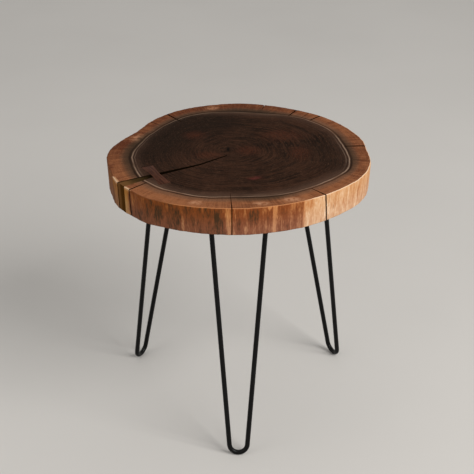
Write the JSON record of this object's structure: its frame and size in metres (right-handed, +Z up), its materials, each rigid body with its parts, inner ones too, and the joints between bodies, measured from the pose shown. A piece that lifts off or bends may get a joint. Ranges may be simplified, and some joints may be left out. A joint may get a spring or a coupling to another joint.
{
  "type": "live edge side table",
  "caption": "Round live edge walnut slab table on bent-rod hairpin legs, with a bow-tie key across its widest resin-filled drying check.",
  "frame": {"origin": "on the floor, at the centre of the circle that the three feet stand on", "axes": "+Z up; seen from the front leg's side, +X is to the right and +Y goes away"},
  "size_m": [0.5342, 0.5273, 0.566],
  "materials": {
    "walnut_slab": "oiled satin",
    "walnut_key": "oiled satin",
    "dark_resin": "sanded epoxy",
    "black_powder_coat": "satin powder coat",
    "black_screw": "black oxide"
  },
  "bodies": {
    "root": {"slab": "walnut_slab", "bow_tie_key": "walnut_key", "main_check_resin": "dark_resin", "sliver_check_resin": "dark_resin", "front_check_resin": "dark_resin", "front_right_check_resin": "dark_resin", "right_check_resin": "dark_resin", "right_back_check_resin": "dark_resin", "back_right_check_resin": "dark_resin", "back_left_check_resin": "dark_resin", "front_hairpin_rod": "black_powder_coat", "front_leg_plate": "black_powder_coat", "front_weld_beads": "black_powder_coat", "front_leg_screws": "black_screw", "left_hairpin_rod": "black_powder_coat", "left_leg_plate": "black_powder_coat", "left_weld_beads": "black_powder_coat", "left_leg_screws": "black_screw", "right_hairpin_rod": "black_powder_coat", "right_leg_plate": "black_powder_coat", "right_weld_beads": "black_powder_coat", "right_leg_screws": "black_screw"}
  },
  "joints": []
}
